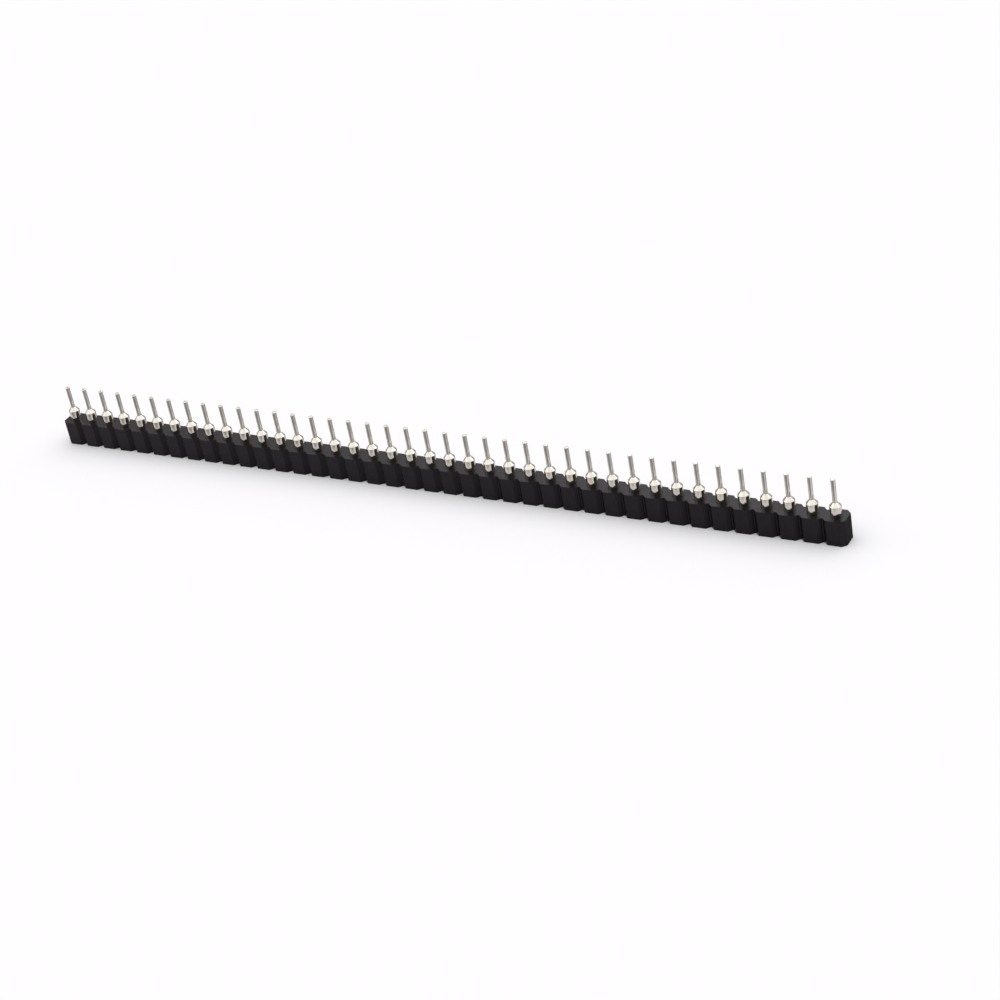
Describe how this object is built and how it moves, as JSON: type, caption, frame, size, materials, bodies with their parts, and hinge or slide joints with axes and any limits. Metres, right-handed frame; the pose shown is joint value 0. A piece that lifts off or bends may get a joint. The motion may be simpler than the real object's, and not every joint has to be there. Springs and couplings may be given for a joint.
{
  "type": "pin header strip",
  "caption": "Straight single row of turned round contact pins in a black moulded housing: a spring socket in each head, a thin round tail on the other side, and snap grooves between the cells.",
  "frame": {"origin": "middle of the socket face, on which the strip stands", "axes": "+X along the row from contact 1 to contact 40, +Z along the pins from the socket face to the tails, +Y across the row"},
  "size_m": [0.1016, 0.0024, 0.0074],
  "materials": {
    "housing_plastic": "satin",
    "tin_plating": "satin",
    "gold_plating": "satin"
  },
  "bodies": {
    "root": {"housing": "housing_plastic", "pin_01": "tin_plating", "pin_02": "tin_plating", "pin_03": "tin_plating", "pin_04": "tin_plating", "pin_05": "tin_plating", "pin_06": "tin_plating", "pin_07": "tin_plating", "pin_08": "tin_plating", "pin_09": "tin_plating", "pin_10": "tin_plating", "pin_11": "tin_plating", "pin_12": "tin_plating", "pin_13": "tin_plating", "pin_14": "tin_plating", "pin_15": "tin_plating", "pin_16": "tin_plating", "pin_17": "tin_plating", "pin_18": "tin_plating", "pin_19": "tin_plating", "pin_20": "tin_plating", "pin_21": "tin_plating", "pin_22": "tin_plating", "pin_23": "tin_plating", "pin_24": "tin_plating", "pin_25": "tin_plating", "pin_26": "tin_plating", "pin_27": "tin_plating", "pin_28": "tin_plating", "pin_29": "tin_plating", "pin_30": "tin_plating", "pin_31": "tin_plating", "pin_32": "tin_plating", "pin_33": "tin_plating", "pin_34": "tin_plating", "pin_35": "tin_plating", "pin_36": "tin_plating", "pin_37": "tin_plating", "pin_38": "tin_plating", "pin_39": "tin_plating", "pin_40": "tin_plating", "clips_01_to_05": "gold_plating", "clips_06_to_10": "gold_plating", "clips_11_to_15": "gold_plating", "clips_16_to_20": "gold_plating", "clips_21_to_25": "gold_plating", "clips_26_to_30": "gold_plating", "clips_31_to_35": "gold_plating", "clips_36_to_40": "gold_plating"}
  },
  "joints": []
}
